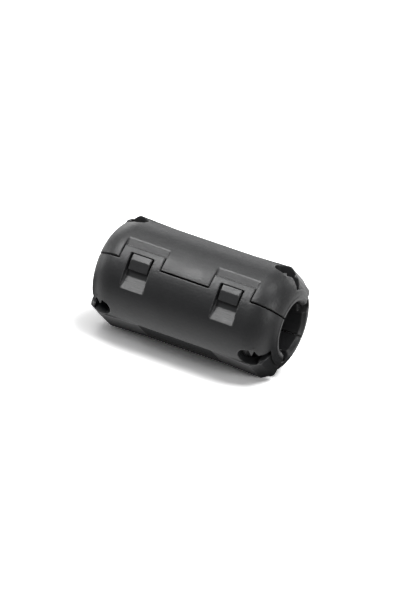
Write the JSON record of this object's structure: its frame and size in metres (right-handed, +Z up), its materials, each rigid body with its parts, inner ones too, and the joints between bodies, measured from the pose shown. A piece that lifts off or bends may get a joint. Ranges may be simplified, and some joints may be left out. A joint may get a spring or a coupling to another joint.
{
  "type": "clip-on ferrite bead",
  "caption": "Split cylindrical ferrite core in a rounded plastic case that hinges open, closes round a cable and snaps shut on loop and hook latches.",
  "frame": {"origin": "middle of the cable bore, half way between the two rounded ends", "axes": "+X along the cable; the latches face the -Y side and are lifted 35 degrees above it, and the film hinge is opposite them; +Z is up, on the side of the lid"},
  "size_m": [0.036, 0.0194, 0.0194],
  "materials": {
    "lower_plastic": "matt moulded nylon, fine eroded texture",
    "upper_plastic": "matt moulded nylon, fine eroded texture",
    "ferrite": "sintered ceramic, ground on the mating faces"
  },
  "bodies": {
    "base": {"lower_shell": "lower_plastic", "lower_core": "ferrite", "film_hinge": "lower_plastic"},
    "lid": {"upper_shell": "upper_plastic", "upper_core": "ferrite"}
  },
  "joints": [
    {"name": "lid_hinge", "type": "hinge", "parent": "base", "child": "lid", "pos_m": [0, 0.00745, -0.00522], "axis": [-1, 0, 0], "range_deg": [0, 110], "deforming": ["film_hinge"]}
  ]
}
